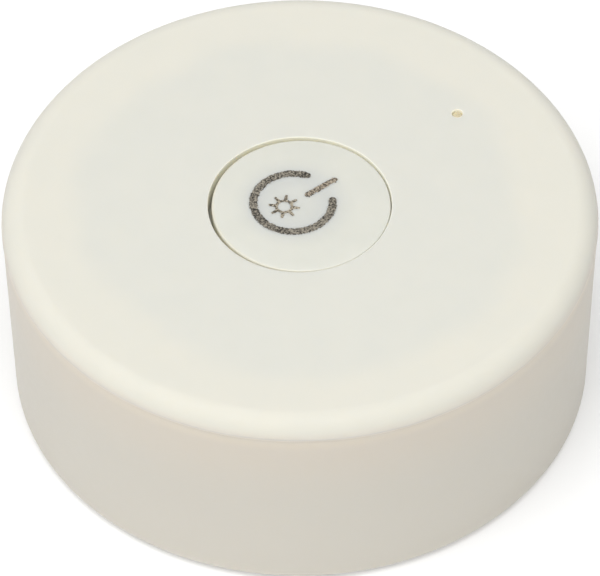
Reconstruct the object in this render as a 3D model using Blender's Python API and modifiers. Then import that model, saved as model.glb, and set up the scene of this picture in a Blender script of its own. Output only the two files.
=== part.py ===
"""Wireless light-control puck: one push button, one indicator, a coin cell and a radio board.

Metres, +Z up. The origin is at the centre of the underside, on the plane that the feet stand on.
+Y points from the centre of the top to the indicator hole, so the button's mark reads upright from -Y.
"""

from math import acos, cos, pi, radians, sin

import bmesh
import bpy
from mathutils import Vector

MM = 0.001

# Outer form
RADIUS = 25.0 * MM
HEIGHT = 20.0 * MM
STAND = 0.4 * MM  # how far the feet hold the shell off the table
EDGE_RADIUS = 2.0 * MM
EDGE_SWEEP = radians(78)  # the lid's edge stops short of vertical, which leaves a fine crease
SEAM = 0.1 * MM  # gap between the lid's rim and the shell's wall
WALL_TOP_RADIUS = 24.95 * MM
WALL_FOOT_RADIUS = 24.17 * MM
WALL = 2.0 * MM
FOOT_EDGE = 0.5 * MM
CLEAR = 0.3 * MM  # between pieces that touch or rest on each other
SOLDER = 0.1 * MM  # between a soldered piece and the board
PAST = 1.0 * MM  # how far a cutter, or the root of a joined piece, runs past the face it meets

# Lid
LID_PLATE = 1.8 * MM
LID_UNDER = HEIGHT - LID_PLATE
RIM_BOTTOM = HEIGHT - EDGE_RADIUS * (1 - cos(EDGE_SWEEP)) - 0.02 * MM
SKIRT_OUTER = 22.6 * MM
SKIRT_INNER = 21.4 * MM
SKIRT_BOTTOM = 16.2 * MM
COLLAR_INNER = 9.1 * MM
COLLAR_OUTER = 10.1 * MM
COLLAR_BOTTOM = 15.0 * MM
BOSS_ROOT = 0.5 * MM  # how far a screw boss reaches up into the lid's plate
HOLE_CHAMFER = 0.12 * MM

# Button
HOLE_RADIUS = 7.7 * MM
CAP_RADIUS = 7.45 * MM
CAP_SHIFT = Vector((0.073, 0.095, 0.0)) * MM  # the loose cap rests against one side of its hole
CAP_FLAT = 5.2 * MM
CAP_CROWN = 0.22 * MM  # how far the cap's top falls away towards its edge
CAP_EDGE = 0.3 * MM
CAP_FLANGE = 8.7 * MM
CAP_FLANGE_TOP = LID_UNDER - CLEAR
CAP_FLANGE_BOTTOM = CAP_FLANGE_TOP - 0.8 * MM
CAP_CEILING = HEIGHT - 1.5 * MM
CAP_SKIRT_INNER = 6.2 * MM
STEM_RADIUS = 1.6 * MM
KEY_REACH = 9.75 * MM
KEY_WIDTH = 1.8 * MM
KEY_ROOT = 0.4 * MM  # how far a key starts inside the cap's skirt
KEY_INSET = 0.05 * MM  # above and below a key, inside the flange's thickness
RIB_WIDTH = 0.8 * MM
RIB_RISE = 0.3 * MM

# Shell's floor and battery door
FLOOR_TOP = 2.6 * MM
LEDGE_BOTTOM = 1.8 * MM
DOORWAY_RADIUS = 12.6 * MM
DOOR_SEAT_RADIUS = 13.85 * MM
DOOR_RADIUS = 13.6 * MM
DOOR_PLATE_TOP = LEDGE_BOTTOM - CLEAR
DOOR_PLUG_OUTER = 12.3 * MM
DOOR_PLUG_INNER = 11.3 * MM
DOOR_PLUG_TOP = 3.5 * MM
LUG_OUTER = 13.45 * MM
LUG_ROOT = DOOR_PLUG_OUTER - 0.4 * MM
LUG_BOTTOM = FLOOR_TOP + CLEAR
LUG_TOP = DOOR_PLUG_TOP - 0.05 * MM
LUG_WIDTH = 28.0  # degrees
NOTCH_WIDTH = 34.0  # degrees
DOOR_TURN = -45.0  # degrees from locked to open, anticlockwise as seen from below
LUG_ANGLES = (90.0, 210.0, 330.0)
COIN_RADIUS = 25.0 * MM
COIN_WIDTH = 1.8 * MM
COIN_DEPTH = 0.65 * MM
LOCKED_ANGLE = -90.0
MARK_CIRCLE = 15.2 * MM
MARK_DEPTH = 0.25 * MM
DOT_RADIUS = 0.55 * MM
BAR_LENGTH = 1.3 * MM
BAR_WIDTH = 1.8  # degrees
ARROW_SIZE = 1.5 * MM

# Places round the rim
RIM_CIRCLE = 18.6 * MM
SCREW_ANGLES = (30.0, 150.0, 270.0)
FOOT_ANGLES = (90.0, 210.0, 330.0)
PAIRING_X = -17.3 * MM
INDICATOR_Y = 16.9 * MM

# Feet
FOOT_RADIUS = 3.5 * MM
FOOT_TOP = 0.9 * MM
FOOT_POCKET_RADIUS = 3.7 * MM
FOOT_POCKET_TOP = 1.0 * MM

# Board
BOARD_BOTTOM = 10.2 * MM
BOARD_TOP = 11.4 * MM
BOARD_RADIUS = 21.0 * MM
BOARD_NOTCH_RADIUS = 1.2 * MM
ON_BOARD = BOARD_TOP + SOLDER
UNDER_BOARD = BOARD_BOTTOM - SOLDER

# Screws and their bosses
COLUMN_RADIUS = 2.7 * MM
COLUMN_TOP = BOARD_BOTTOM - CLEAR
HEAD_SEAT = 2.9 * MM
HEAD_RECESS_RADIUS = 2.2 * MM
SCREW_PASSAGE = 1.25 * MM
BOSS_RADIUS = 2.4 * MM
BOSS_BOTTOM = BOARD_TOP + CLEAR
PILOT_RADIUS = 1.15 * MM
PILOT_TOP = 16.4 * MM
HEAD_RADIUS = 1.95 * MM
HEAD_TOP = 2.8 * MM
HEAD_BOTTOM = 1.5 * MM
HEAD_SLOPE = 0.45 * MM
CROSS_LENGTH = 2.2 * MM
CROSS_WIDTH = 0.5 * MM
CROSS_DEPTH = 0.7 * MM
THREAD_RADIUS = 1.0 * MM
CORE_RADIUS = 0.75 * MM
SCREW_TIP = 14.8 * MM
THREAD_PITCH = 0.9 * MM

# Coin cell and its contacts
CELL_RADIUS = 12.25 * MM
CELL_BOTTOM = 3.9 * MM
CELL_CRIMP = 8.1 * MM
CELL_TOP = 8.9 * MM
CELL_CAP_RADIUS = 10.9 * MM
HOLDER_INNER = 12.65 * MM
HOLDER_OUTER = 13.75 * MM
HOLDER_BOTTOM = 4.2 * MM
HOLDER_TOP = BOARD_BOTTOM - CLEAR
PEG_RADIUS = 0.6 * MM
PEG_HOLE_RADIUS = 0.8 * MM
PEG_TOP = BOARD_TOP + 0.3 * MM
PEG_CIRCLE = (HOLDER_INNER + HOLDER_OUTER) / 2
PEG_ANGLES = (100.0, 280.0)
STRIP = 0.2 * MM  # thickness of the sprung contacts

# Main switch, from the board up
SWITCH_SIZE = 6.2 * MM
SWITCH_BASE_BOTTOM = 11.8 * MM
SWITCH_WELL_BOTTOM = 12.6 * MM
SWITCH_WELL_RADIUS = 2.6 * MM
SWITCH_BASE_TOP = 14.6 * MM
SWITCH_COVER_TOP = 15.0 * MM
SWITCH_COVER_HOLE = 1.95 * MM
PLUNGER_RADIUS = 1.7 * MM
PLUNGER_FLANGE = 2.35 * MM
PLUNGER_BOTTOM = 13.5 * MM
PLUNGER_TOP = 16.0 * MM
STEM_BOTTOM = PLUNGER_TOP + CLEAR
DOME_RADIUS = 2.35 * MM
DOME_FOOT = 12.7 * MM
DOME_RISE = 0.45 * MM
DOME_SHEET = 0.1 * MM

# Pairing switch, hanging under the board
PAIRING_SIZE = 4.5 * MM
PAIRING_BASE_HEIGHT = 2.0 * MM
PAIRING_PLUNGER_RADIUS = 1.0 * MM
PAIRING_PLUNGER_END = 7.2 * MM
PINHOLE_RADIUS = 0.8 * MM
GUIDE_RADIUS = 1.7 * MM
GUIDE_TOP = 6.4 * MM

# Indicator
INDICATOR_HOLE = 0.5 * MM
PIPE_TIP_RADIUS = 0.42 * MM
PIPE_TIP_TOP = HEIGHT - 0.25 * MM
PIPE_TIP_RISE = 0.08 * MM  # the tip's faint dome
PIPE_FLANGE_HEIGHT = 0.6 * MM
LED_SIZE = (2.0 * MM, 1.3 * MM)
LED_BEVEL = 0.12 * MM
PIPE_FLANGE_RADIUS = 1.6 * MM
PIPE_RADIUS = 1.0 * MM
LED_TOP = ON_BOARD + 0.9 * MM

ROUND_STEPS = 64
MIDDLE_STEPS = 48
SMALL_STEPS = 24
TINY_STEPS = 16
SHARP_ANGLE = radians(30)


def clear_scene():
    for obj in list(bpy.data.objects):
        bpy.data.objects.remove(obj)


def make_collection(name):
    collection = bpy.data.collections.new(name)
    bpy.context.scene.collection.children.link(collection)
    return collection


def make_material(name, colour, roughness, metallic=0.0):
    material = bpy.data.materials.new(name)
    material.use_nodes = True
    shader = material.node_tree.nodes["Principled BSDF"]
    shader.inputs["Base Color"].default_value = (*colour, 1.0)
    shader.inputs["Roughness"].default_value = roughness
    shader.inputs["Metallic"].default_value = metallic
    return material


clear_scene()
PARTS = make_collection("light_control_puck")
CUTTERS = make_collection("cutters")
CUTTERS.hide_render = True

IVORY = make_material("ivory_plastic", (0.80, 0.78, 0.70), 0.42)
BUTTON_WHITE = make_material("button_plastic", (0.78, 0.78, 0.73), 0.40)
CLEAR_AMBER = make_material("light_pipe_plastic", (0.78, 0.66, 0.42), 0.20)
SOFT_RUBBER = make_material("foot_rubber", (0.32, 0.32, 0.31), 0.85)
BOARD_GREEN = make_material("board_laminate", (0.02, 0.16, 0.07), 0.35)
BLACK_PLASTIC = make_material("black_plastic", (0.025, 0.025, 0.027), 0.45)
STEEL = make_material("plated_steel", (0.70, 0.70, 0.68), 0.28, 1.0)
COPPER = make_material("copper", (0.75, 0.42, 0.22), 0.30, 1.0)
CERAMIC = make_material("capacitor_ceramic", (0.55, 0.42, 0.28), 0.50)
TANTALUM = make_material("tantalum_yellow", (0.72, 0.48, 0.06), 0.50)
LED_WHITE = make_material("led_package", (0.85, 0.83, 0.70), 0.35)


def around(radius, degrees):
    """The point at this radius and angle from +X, on the plane z = 0."""
    return Vector((radius * cos(radians(degrees)), radius * sin(radians(degrees)), 0.0))


def place(name, mesh, material, at=(0.0, 0.0, 0.0)):
    """Links the mesh as a part, or as a cutter where it has no material."""
    obj = bpy.data.objects.new(name, mesh)
    obj.location = at
    if material:
        mesh.materials.append(material)
        PARTS.objects.link(obj)
    else:
        CUTTERS.objects.link(obj)
        obj.hide_render = True
        obj.display_type = "WIRE"
    bpy.context.view_layer.update()
    return obj


def evaluated_mesh(obj):
    graph = bpy.context.evaluated_depsgraph_get()
    return bpy.data.meshes.new_from_object(obj.evaluated_get(graph))


def posts(name, radius, bottom, top, circle, angles, steps=SMALL_STEPS):
    """Equal cylinders, one at each angle on a circle about the case's axis."""
    return [
        cylinder(f"{name}_{i}", radius, bottom, top, at=around(circle, angle), steps=steps)
        for i, angle in enumerate(angles)
    ]


def turned(name, profile, material, at=(0.0, 0.0, 0.0), steps=ROUND_STEPS, ring=False):
    """A turned piece. The (radius, z) profile runs down its outer side; a ring's closes on itself."""
    points = [(radius, 0.0, z) for radius, z in profile]
    edges = [(i, i + 1) for i in range(len(points) - 1)]
    if ring:
        edges.append((len(points) - 1, 0))
    mesh = bpy.data.meshes.new(name)
    mesh.from_pydata(points, edges, [])
    obj = place(name, mesh, material, at)
    screw = obj.modifiers.new("turn", "SCREW")
    screw.steps = steps
    screw.render_steps = steps
    screw.use_merge_vertices = True
    screw.merge_threshold = 0.000001
    bpy.context.view_layer.update()
    solid = evaluated_mesh(obj)
    obj.modifiers.clear()
    obj.data = solid
    bpy.data.meshes.remove(mesh)
    solid.shade_smooth()
    solid.set_sharp_from_angle(angle=SHARP_ANGLE)
    return obj


def cylinder(name, radius, bottom, top, material=None, at=(0.0, 0.0), steps=SMALL_STEPS):
    build = bmesh.new()
    bmesh.ops.create_cone(
        build, cap_ends=True, segments=steps, radius1=radius, radius2=radius, depth=top - bottom
    )
    mesh = bpy.data.meshes.new(name)
    build.to_mesh(mesh)
    build.free()
    mesh.shade_smooth()
    mesh.set_sharp_from_angle(angle=SHARP_ANGLE)
    return place(name, mesh, material, (at[0], at[1], (bottom + top) / 2))


def box(name, size, bottom, material=None, at=(0.0, 0.0), bevel=0.0, turn=0.0):
    """A box of this (x, y, z) size standing on z = bottom, turned about its own vertical by degrees."""
    build = bmesh.new()
    bmesh.ops.create_cube(build, size=1.0)
    bmesh.ops.scale(build, vec=size, verts=build.verts)
    mesh = bpy.data.meshes.new(name)
    build.to_mesh(mesh)
    build.free()
    obj = place(name, mesh, material, (at[0], at[1], bottom + size[2] / 2))
    obj.rotation_euler.z = radians(turn)
    if bevel:
        rounding = obj.modifiers.new("edges", "BEVEL")
        rounding.width = bevel
        rounding.segments = 1
    return obj


def slab(name, outline, bottom, top, material=None, at=(0.0, 0.0)):
    """A flat outline given a thickness. The outline is a list of (x, y)."""
    curve = bpy.data.curves.new(name, "CURVE")
    curve.dimensions = "2D"
    curve.fill_mode = "BOTH"
    curve.extrude = (top - bottom) / 2
    spline = curve.splines.new("POLY")
    spline.points.add(len(outline) - 1)
    for point, (x, y) in zip(spline.points, outline):
        point.co = (x, y, 0.0, 1.0)
    spline.use_cyclic_u = True
    guide = bpy.data.objects.new(name + "_outline", curve)
    CUTTERS.objects.link(guide)
    bpy.context.view_layer.update()
    mesh = evaluated_mesh(guide)
    bpy.data.objects.remove(guide)
    build = bmesh.new()
    build.from_mesh(mesh)
    bmesh.ops.remove_doubles(build, verts=build.verts, dist=0.000001)
    build.to_mesh(mesh)
    build.free()
    return place(name, mesh, material, (at[0], at[1], (bottom + top) / 2))


def sector(name, inner, outer, centre, width, bottom, top, material=None, points=8):
    """Part of a flat ring, width degrees wide about the centre angle."""
    angles = [centre - width / 2 + width * i / (points - 1) for i in range(points)]
    outline = [around(outer, angle).xy for angle in angles]
    outline += [around(inner, angle).xy for angle in reversed(angles)]
    return slab(name, outline, bottom, top, material)


def bent_strip(name, path, width, material, turn=0.0):
    """A sprung sheet contact: the (x, z) path given a width along Y and the strip's thickness."""
    count = len(path)
    points = [(x, side * width / 2, z) for side in (-1, 1) for x, z in path]
    faces = [(i, i + 1, count + i + 1, count + i) for i in range(count - 1)]
    mesh = bpy.data.meshes.new(name)
    mesh.from_pydata(points, [], faces)
    obj = place(name, mesh, material)
    obj.rotation_euler.z = radians(turn)
    sheet = obj.modifiers.new("sheet", "SOLIDIFY")
    sheet.thickness = STRIP
    sheet.offset = 0.0
    sheet.use_even_offset = True
    return obj


def change(target, operation, *tools):
    """Cuts each tool from the target, or joins it on. A tool is kept as a hidden guide."""
    for tool in tools:
        step = target.modifiers.new(tool.name, "BOOLEAN")
        step.operation = operation
        step.solver = "EXACT"
        step.object = tool


def arc(centre_r, centre_z, radius, start, end, count):
    """Points on an arc in the (radius, z) plane. Angles are from +Z towards +X, in radians."""
    angles = [start + (end - start) * i / count for i in range(count + 1)]
    return [(centre_r + radius * sin(a), centre_z + radius * cos(a)) for a in angles]


def make_top_cover():
    flat_radius = RADIUS - EDGE_RADIUS * sin(EDGE_SWEEP)
    profile = [(HOLE_RADIUS + HOLE_CHAMFER, HEIGHT)]
    profile += arc(flat_radius, HEIGHT - EDGE_RADIUS, EDGE_RADIUS, 0.0, EDGE_SWEEP, 6)
    profile += [
        (RADIUS, RIM_BOTTOM),
        (SKIRT_OUTER, RIM_BOTTOM),
        (SKIRT_OUTER, SKIRT_BOTTOM),
        (SKIRT_INNER, SKIRT_BOTTOM),
        (SKIRT_INNER, LID_UNDER),
        (COLLAR_OUTER, LID_UNDER),
        (COLLAR_OUTER, COLLAR_BOTTOM),
        (COLLAR_INNER, COLLAR_BOTTOM),
        (COLLAR_INNER, LID_UNDER),
        (HOLE_RADIUS, LID_UNDER),
        (HOLE_RADIUS, HEIGHT - HOLE_CHAMFER),
    ]
    cover = turned("top_cover", profile, IVORY, ring=True)
    boss_top = LID_UNDER + BOSS_ROOT
    bosses = posts("boss", BOSS_RADIUS, BOSS_BOTTOM, boss_top, RIM_CIRCLE, SCREW_ANGLES)
    pilots = posts("pilot", PILOT_RADIUS, BOSS_BOTTOM - PAST, PILOT_TOP, RIM_CIRCLE, SCREW_ANGLES)
    indicator_hole = cylinder(
        "indicator_hole", INDICATOR_HOLE, LID_UNDER - PAST, HEIGHT + PAST, at=(0.0, INDICATOR_Y)
    )
    key_slot_width = KEY_WIDTH + 2 * CLEAR
    key_slots = box(
        "key_slots",
        (2 * (COLLAR_OUTER + PAST), key_slot_width, LID_UNDER - COLLAR_BOTTOM + 0.8 * MM),
        COLLAR_BOTTOM - PAST,
    )
    change(cover, "UNION", *bosses)
    change(cover, "DIFFERENCE", *pilots, indicator_hole, key_slots)


def make_body_shell():
    wall_top = RIM_BOTTOM - SEAM
    edge_centre = WALL_FOOT_RADIUS - FOOT_EDGE
    inner_foot_radius = WALL_FOOT_RADIUS - WALL
    profile = [
        (WALL_TOP_RADIUS - WALL, wall_top),
        (WALL_TOP_RADIUS, wall_top),
    ]
    profile += arc(edge_centre, STAND + FOOT_EDGE, FOOT_EDGE, pi / 2, pi, 4)
    profile += [
        (DOOR_SEAT_RADIUS, STAND),
        (DOOR_SEAT_RADIUS, LEDGE_BOTTOM),
        (DOORWAY_RADIUS, LEDGE_BOTTOM),
        (DOORWAY_RADIUS, FLOOR_TOP),
        (inner_foot_radius, FLOOR_TOP),
    ]
    shell = turned("body_shell", profile, IVORY, ring=True)
    columns = posts("column", COLUMN_RADIUS, FLOOR_TOP - PAST, COLUMN_TOP, RIM_CIRCLE, SCREW_ANGLES)
    guide = cylinder("pin_guide", GUIDE_RADIUS, FLOOR_TOP - PAST, GUIDE_TOP, at=(PAIRING_X, 0.0))
    change(shell, "UNION", *columns, guide)
    recess_profile = [
        (0.0, COLUMN_TOP + PAST),
        (SCREW_PASSAGE, COLUMN_TOP + PAST),
        (SCREW_PASSAGE, HEAD_SEAT),
        (HEAD_RECESS_RADIUS, HEAD_SEAT),
        (HEAD_RECESS_RADIUS, STAND - PAST),
        (0.0, STAND - PAST),
    ]
    recesses = [
        turned(f"screw_recess_{i}", recess_profile, None, around(RIM_CIRCLE, angle), SMALL_STEPS)
        for i, angle in enumerate(SCREW_ANGLES)
    ]
    pockets = posts(
        "foot_pocket", FOOT_POCKET_RADIUS, STAND - PAST, FOOT_POCKET_TOP, RIM_CIRCLE, FOOT_ANGLES
    )
    pinhole = cylinder(
        "pinhole", PINHOLE_RADIUS, STAND - PAST, GUIDE_TOP + PAST, at=(PAIRING_X, 0.0), steps=TINY_STEPS
    )
    notches = [
        sector(
            f"door_notch_{i}",
            DOORWAY_RADIUS - PAST,
            DOOR_SEAT_RADIUS - 0.15 * MM,
            angle + DOOR_TURN,
            NOTCH_WIDTH,
            LEDGE_BOTTOM - 0.5 * MM,
            FLOOR_TOP + 0.5 * MM,
        )
        for i, angle in enumerate(LUG_ANGLES)
    ]
    change(shell, "DIFFERENCE", *recesses, *pockets, pinhole, *notches, *make_door_marks())


def make_door_marks():
    """Cutters for the two marks beside the door: a round dot where it locks, a bar where it opens."""
    mark_top = STAND + MARK_DEPTH
    at = around(MARK_CIRCLE, LOCKED_ANGLE)
    locked = cylinder("locked_dot", DOT_RADIUS, STAND - PAST, mark_top, at=at, steps=TINY_STEPS)
    opened = sector(
        "open_bar",
        MARK_CIRCLE - BAR_LENGTH / 2,
        MARK_CIRCLE + BAR_LENGTH / 2,
        LOCKED_ANGLE + DOOR_TURN,
        BAR_WIDTH,
        STAND - PAST,
        mark_top,
        points=2,
    )
    return locked, opened


def make_button_cap():
    top = HEIGHT
    crown_end = CAP_RADIUS - CAP_EDGE
    crown = [
        (CAP_FLAT + (crown_end - CAP_FLAT) * t, top - CAP_CROWN * t * t)
        for t in (0.0, 0.5, 1.0)
    ]
    edge = arc(crown_end, top - CAP_CROWN - CAP_EDGE, CAP_EDGE, radians(22), pi / 2, 3)
    profile = [(0.0, top)] + crown + edge
    profile += [
        (CAP_RADIUS, CAP_FLANGE_TOP),
        (CAP_FLANGE, CAP_FLANGE_TOP),
        (CAP_FLANGE, CAP_FLANGE_BOTTOM),
        (CAP_SKIRT_INNER, CAP_FLANGE_BOTTOM),
        (CAP_SKIRT_INNER, CAP_CEILING),
        (STEM_RADIUS, CAP_CEILING),
        (STEM_RADIUS, STEM_BOTTOM),
        (0.0, STEM_BOTTOM),
    ]
    cap = turned("button_cap", profile, BUTTON_WHITE, CAP_SHIFT, MIDDLE_STEPS)
    rib_height = CAP_CEILING - CAP_FLANGE_BOTTOM
    ribs = [
        box(
            f"cap_rib_{i}",
            (2 * CAP_SKIRT_INNER + PAST, RIB_WIDTH, rib_height + RIB_RISE),
            CAP_FLANGE_BOTTOM + RIB_RISE,
            at=CAP_SHIFT,
            turn=turn,
        )
        for i, turn in enumerate((45.0, 135.0))
    ]
    key_height = CAP_FLANGE_TOP - CAP_FLANGE_BOTTOM - 2 * KEY_INSET
    key_start = CAP_SKIRT_INNER + KEY_ROOT
    keys = [
        box(
            f"cap_key_{i}",
            (KEY_REACH - key_start, KEY_WIDTH, key_height),
            CAP_FLANGE_BOTTOM + KEY_INSET,
            at=(side * (KEY_REACH + key_start) / 2, 0.0),
        )
        for i, side in enumerate((-1, 1))
    ]
    change(cap, "UNION", *ribs, *keys)


def make_indicator():
    flange_top = LID_UNDER - CLEAR
    flange_bottom = flange_top - PIPE_FLANGE_HEIGHT
    tip_profile = [
        (0.0, PIPE_TIP_TOP + PIPE_TIP_RISE),
        (PIPE_TIP_RADIUS * 0.6, PIPE_TIP_TOP + PIPE_TIP_RISE * 0.6),
        (PIPE_TIP_RADIUS, PIPE_TIP_TOP - PIPE_TIP_RISE * 0.6),
        (PIPE_TIP_RADIUS, flange_top),
        (PIPE_FLANGE_RADIUS, flange_top),
        (PIPE_FLANGE_RADIUS, flange_bottom),
        (PIPE_RADIUS, flange_bottom),
        (PIPE_RADIUS, LED_TOP + CLEAR),
        (0.0, LED_TOP + CLEAR),
    ]
    turned("light_pipe", tip_profile, CLEAR_AMBER, (0.0, INDICATOR_Y, 0.0), SMALL_STEPS)
    led_size = (*LED_SIZE, LED_TOP - ON_BOARD)
    box("indicator_led", led_size, ON_BOARD, LED_WHITE, (0.0, INDICATOR_Y), LED_BEVEL)


def make_board():
    board = cylinder("main_board", BOARD_RADIUS, BOARD_BOTTOM, BOARD_TOP, BOARD_GREEN, steps=ROUND_STEPS)
    below = BOARD_BOTTOM - PAST
    above = BOARD_TOP + PAST
    holes = posts("board_screw_hole", SCREW_PASSAGE, below, above, RIM_CIRCLE, SCREW_ANGLES, TINY_STEPS)
    holes += posts("board_peg_hole", PEG_HOLE_RADIUS, below, above, PEG_CIRCLE, PEG_ANGLES, TINY_STEPS)
    notches = posts("board_notch", BOARD_NOTCH_RADIUS, below, above, BOARD_RADIUS, (-45.0,), TINY_STEPS)
    change(board, "DIFFERENCE", *holes, *notches)


def make_screws():
    """Pan-head self-tapping screws, head down. The thread is a stack of turned ridges."""
    ridge_count = 10
    blade_size = (CROSS_LENGTH, CROSS_WIDTH, CROSS_DEPTH + PAST)
    first_ridge = SCREW_TIP - 0.8 * MM
    point_slope = (CORE_RADIUS * 0.5, (SCREW_TIP + first_ridge) / 2)
    profile = [(0.0, SCREW_TIP), point_slope, (CORE_RADIUS, first_ridge)]
    for i in range(ridge_count):
        z = first_ridge - (i + 0.5) * THREAD_PITCH
        profile += [(THREAD_RADIUS, z), (CORE_RADIUS, z - THREAD_PITCH / 2)]
    profile += [
        (CORE_RADIUS, HEAD_TOP),
        (HEAD_RADIUS, HEAD_TOP),
        (HEAD_RADIUS, HEAD_BOTTOM + HEAD_SLOPE),
        (HEAD_RADIUS - HEAD_SLOPE, HEAD_BOTTOM),
        (0.0, HEAD_BOTTOM),
    ]
    for i, angle in enumerate(SCREW_ANGLES):
        at = around(RIM_CIRCLE, angle)
        screw = turned(f"case_screw_{i + 1}", profile, STEEL, at, TINY_STEPS)
        blades = [
            box(f"cross_recess_{i}_{turn}", blade_size, HEAD_BOTTOM - PAST, at=at, turn=turn)
            for turn in (angle, angle + 90.0)
        ]
        change(screw, "DIFFERENCE", *blades)


def make_feet():
    rounding = 0.25 * MM
    profile = [(0.0, FOOT_TOP), (FOOT_RADIUS, FOOT_TOP), (FOOT_RADIUS, rounding)]
    profile += arc(FOOT_RADIUS - rounding, rounding, rounding, pi / 2, pi, 3)[1:]
    profile += [(0.0, 0.0)]
    for i, angle in enumerate(FOOT_ANGLES):
        turned(f"rubber_foot_{i + 1}", profile, SOFT_RUBBER, around(RIM_CIRCLE, angle), SMALL_STEPS)


def make_battery_door():
    chamfer = 0.15 * MM
    profile = [
        (0.0, DOOR_PLATE_TOP),
        (DOOR_PLUG_INNER, DOOR_PLATE_TOP),
        (DOOR_PLUG_INNER, DOOR_PLUG_TOP),
        (DOOR_PLUG_OUTER, DOOR_PLUG_TOP),
        (DOOR_PLUG_OUTER, DOOR_PLATE_TOP),
        (DOOR_RADIUS, DOOR_PLATE_TOP),
        (DOOR_RADIUS, STAND + chamfer),
        (DOOR_RADIUS - chamfer, STAND),
        (0.0, STAND),
    ]
    door = turned("battery_door", profile, IVORY, steps=MIDDLE_STEPS)
    lugs = [
        sector(f"door_lug_{i}", LUG_ROOT, LUG_OUTER, angle, LUG_WIDTH, LUG_BOTTOM, LUG_TOP)
        for i, angle in enumerate(LUG_ANGLES)
    ]
    coin = cylinder("coin", COIN_RADIUS, -COIN_WIDTH / 2, COIN_WIDTH / 2, steps=ROUND_STEPS)
    coin.rotation_euler.x = pi / 2
    coin.location = (0.0, 0.0, STAND + COIN_DEPTH - COIN_RADIUS)
    arrow_tip = -DOOR_RADIUS + 0.6 * MM
    arrow_foot = arrow_tip + ARROW_SIZE
    arrow_outline = [(0.0, arrow_tip), (0.6 * ARROW_SIZE, arrow_foot), (-0.6 * ARROW_SIZE, arrow_foot)]
    arrow = slab("door_arrow", arrow_outline, STAND - PAST, STAND + MARK_DEPTH)
    change(door, "UNION", *lugs)
    change(door, "DIFFERENCE", coin, arrow)


def make_cell_and_contacts():
    corner = 0.5 * MM
    profile = [
        (0.0, CELL_TOP),
        (CELL_CAP_RADIUS - 0.3 * MM, CELL_TOP),
        (CELL_CAP_RADIUS, CELL_TOP - 0.3 * MM),
        (CELL_CAP_RADIUS, CELL_CRIMP + 0.15 * MM),
        (CELL_RADIUS - 0.8 * MM, CELL_CRIMP + 0.15 * MM),
        (CELL_RADIUS - 0.25 * MM, CELL_CRIMP),
        (CELL_RADIUS, CELL_CRIMP - 0.4 * MM),
    ]
    profile += arc(CELL_RADIUS - corner, CELL_BOTTOM + corner, corner, pi / 2, pi, 2)
    profile += [(0.0, CELL_BOTTOM)]
    turned("coin_cell", profile, STEEL, steps=MIDDLE_STEPS)

    ring = [
        (HOLDER_INNER, HOLDER_TOP),
        (HOLDER_OUTER, HOLDER_TOP),
        (HOLDER_OUTER, HOLDER_BOTTOM),
        (HOLDER_INNER + 0.4 * MM, HOLDER_BOTTOM),
        (HOLDER_INNER, HOLDER_BOTTOM + 0.4 * MM),
    ]
    holder = turned("battery_holder", ring, BLACK_PLASTIC, steps=MIDDLE_STEPS, ring=True)
    peg_root = HOLDER_TOP - BOSS_ROOT
    pegs = posts("holder_peg", PEG_RADIUS, peg_root, PEG_TOP, PEG_CIRCLE, PEG_ANGLES, TINY_STEPS)
    gap_x = HOLDER_INNER + 1.5 * MM
    contact_gap_size = (6.0 * MM, 5.0 * MM, HOLDER_TOP - HOLDER_BOTTOM + 2 * PAST)
    contact_gap = box("contact_gap", contact_gap_size, HOLDER_BOTTOM - PAST, at=(gap_x, 0.0))
    finger_gap_size = (6.0 * MM, 9.0 * MM, 3.4 * MM)
    finger_gap = box("finger_gap", finger_gap_size, HOLDER_BOTTOM - PAST, at=(-gap_x, 0.0))
    change(holder, "UNION", *pegs)
    change(holder, "DIFFERENCE", contact_gap, finger_gap)

    pad_z = UNDER_BOARD - STRIP / 2
    touch_x = CELL_RADIUS + 0.25 * MM + STRIP / 2
    positive_path = [
        (16.2 * MM, pad_z),
        (13.6 * MM, pad_z),
        (13.2 * MM, pad_z - 0.4 * MM),
        (13.1 * MM, 8.2 * MM),
        (touch_x, 6.4 * MM),
        (13.1 * MM, 4.8 * MM),
    ]
    bent_strip("positive_contact", positive_path, 3.6 * MM, STEEL)
    touch_z = CELL_TOP + 0.2 * MM + STRIP / 2
    negative_path = [
        (-8.5 * MM, pad_z),
        (-4.5 * MM, pad_z),
        (-1.0 * MM, touch_z + 0.25 * MM),
        (1.0 * MM, touch_z),
        (2.6 * MM, touch_z + 0.15 * MM),
        (3.6 * MM, touch_z + 0.55 * MM),
    ]
    bent_strip("negative_contact", negative_path, 4.0 * MM, STEEL, turn=60.0)


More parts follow.
